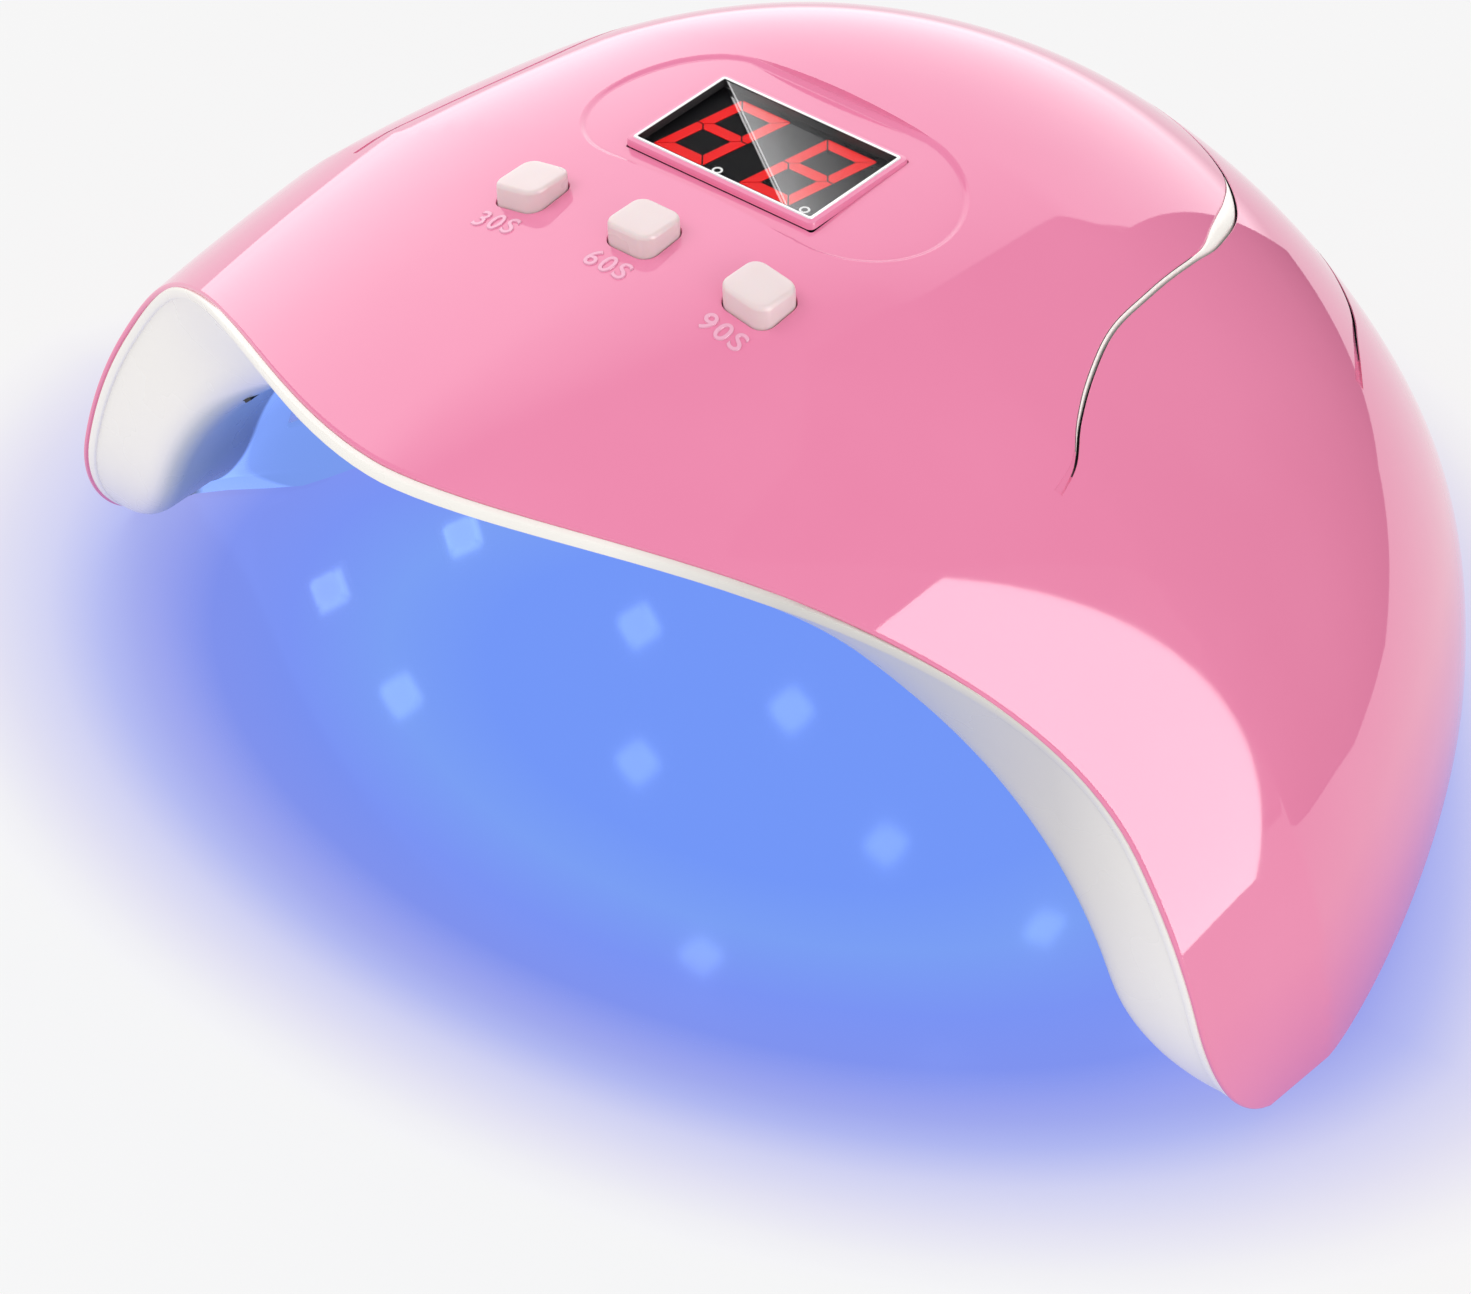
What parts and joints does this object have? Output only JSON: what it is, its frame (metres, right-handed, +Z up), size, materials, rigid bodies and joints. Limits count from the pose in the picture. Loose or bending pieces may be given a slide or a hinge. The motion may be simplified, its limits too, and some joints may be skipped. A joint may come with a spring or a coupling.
{
  "type": "uv led nail lamp",
  "caption": "Arched tabletop UV LED nail lamp: gloss dome shell, white reflector with violet-blue lamps, timer keys and a two-digit display over an open hand bay.",
  "frame": {"origin": "on the table under the middle of the lamp's box, where the rubber feet rest", "axes": "+Z up, +Y towards the lamp's closed back, the mouth for the hand faces -Y, +X across the two legs"},
  "size_m": [0.2076, 0.1854, 0.0954],
  "materials": {
    "shell_pink": "high-gloss injection-moulded ABS, candy pink",
    "liner_white": "semi-gloss white ABS reflector",
    "accent_pearl": "pearly gloss insert",
    "button_cream": "satin-gloss cream pink keys",
    "switch_black": "matte black tact switches",
    "lens_smoke": "polished smoked acrylic",
    "bezel_silver": "bright silver frame",
    "display_red": "red seven-segment digits on a dark block",
    "board_green": "solder-mask green circuit board",
    "strip_white": "white flexible circuit strip",
    "lamp_blue": "clear lens over violet-blue UV LED chip",
    "sensor_black": "black infrared window",
    "jack_black": "matte black socket and lead",
    "connector_white": "white lead connector",
    "screw_steel": "zinc-plated steel",
    "foot_rubber": "pale grey rubber pads"
  },
  "bodies": {
    "housing": {"board_screw_1": "screw_steel", "board_screw_2": "screw_steel", "board_screw_3": "screw_steel", "board_screw_4": "screw_steel", "case_screw_1": "screw_steel", "case_screw_2": "screw_steel", "case_screw_3": "screw_steel", "case_screw_4": "screw_steel", "control_board": "board_green", "dc_jack": "jack_black", "display_bezel": "bezel_silver", "display_lens": "lens_smoke", "display_module": "display_red", "inner_liner": "liner_white", "ir_sensor": "sensor_black", "jack_lead": "jack_black", "lead_connector": "connector_white", "led_bead_01": "lamp_blue", "led_bead_02": "lamp_blue", "led_bead_03": "lamp_blue", "led_bead_04": "lamp_blue", "led_bead_05": "lamp_blue", "led_bead_06": "lamp_blue", "led_bead_07": "lamp_blue", "led_bead_08": "lamp_blue", "led_bead_09": "lamp_blue", "led_bead_10": "lamp_blue", "led_bead_11": "lamp_blue", "led_bead_12": "lamp_blue", "led_bead_13": "lamp_blue", "led_bead_14": "lamp_blue", "led_bead_15": "lamp_blue", "led_bead_16": "lamp_blue", "led_bead_17": "lamp_blue", "led_bead_18": "lamp_blue", "led_strip_1": "strip_white", "led_strip_2": "strip_white", "led_strip_3": "strip_white", "led_strip_4": "strip_white", "rubber_foot_1": "foot_rubber", "rubber_foot_2": "foot_rubber", "rubber_foot_3": "foot_rubber", "rubber_foot_4": "foot_rubber", "shoulder_accent_left": "accent_pearl", "shoulder_accent_right": "accent_pearl", "tact_switch_30s": "switch_black", "tact_switch_60s": "switch_black", "tact_switch_90s": "switch_black", "top_shell": "shell_pink"},
    "key_30s": {"button_30s": "button_cream"},
    "key_60s": {"button_60s": "button_cream"},
    "key_90s": {"button_90s": "button_cream"}
  },
  "joints": [
    {"name": "press_30s", "type": "slide", "parent": "housing", "child": "key_30s", "axis": [0, 0, -1], "range_m": [0, 0.0006], "stiffness_N_per_m": 800},
    {"name": "press_60s", "type": "slide", "parent": "housing", "child": "key_60s", "axis": [0, 0, -1], "range_m": [0, 0.0006], "stiffness_N_per_m": 800},
    {"name": "press_90s", "type": "slide", "parent": "housing", "child": "key_90s", "axis": [0, 0, -1], "range_m": [0, 0.0006], "stiffness_N_per_m": 800}
  ]
}
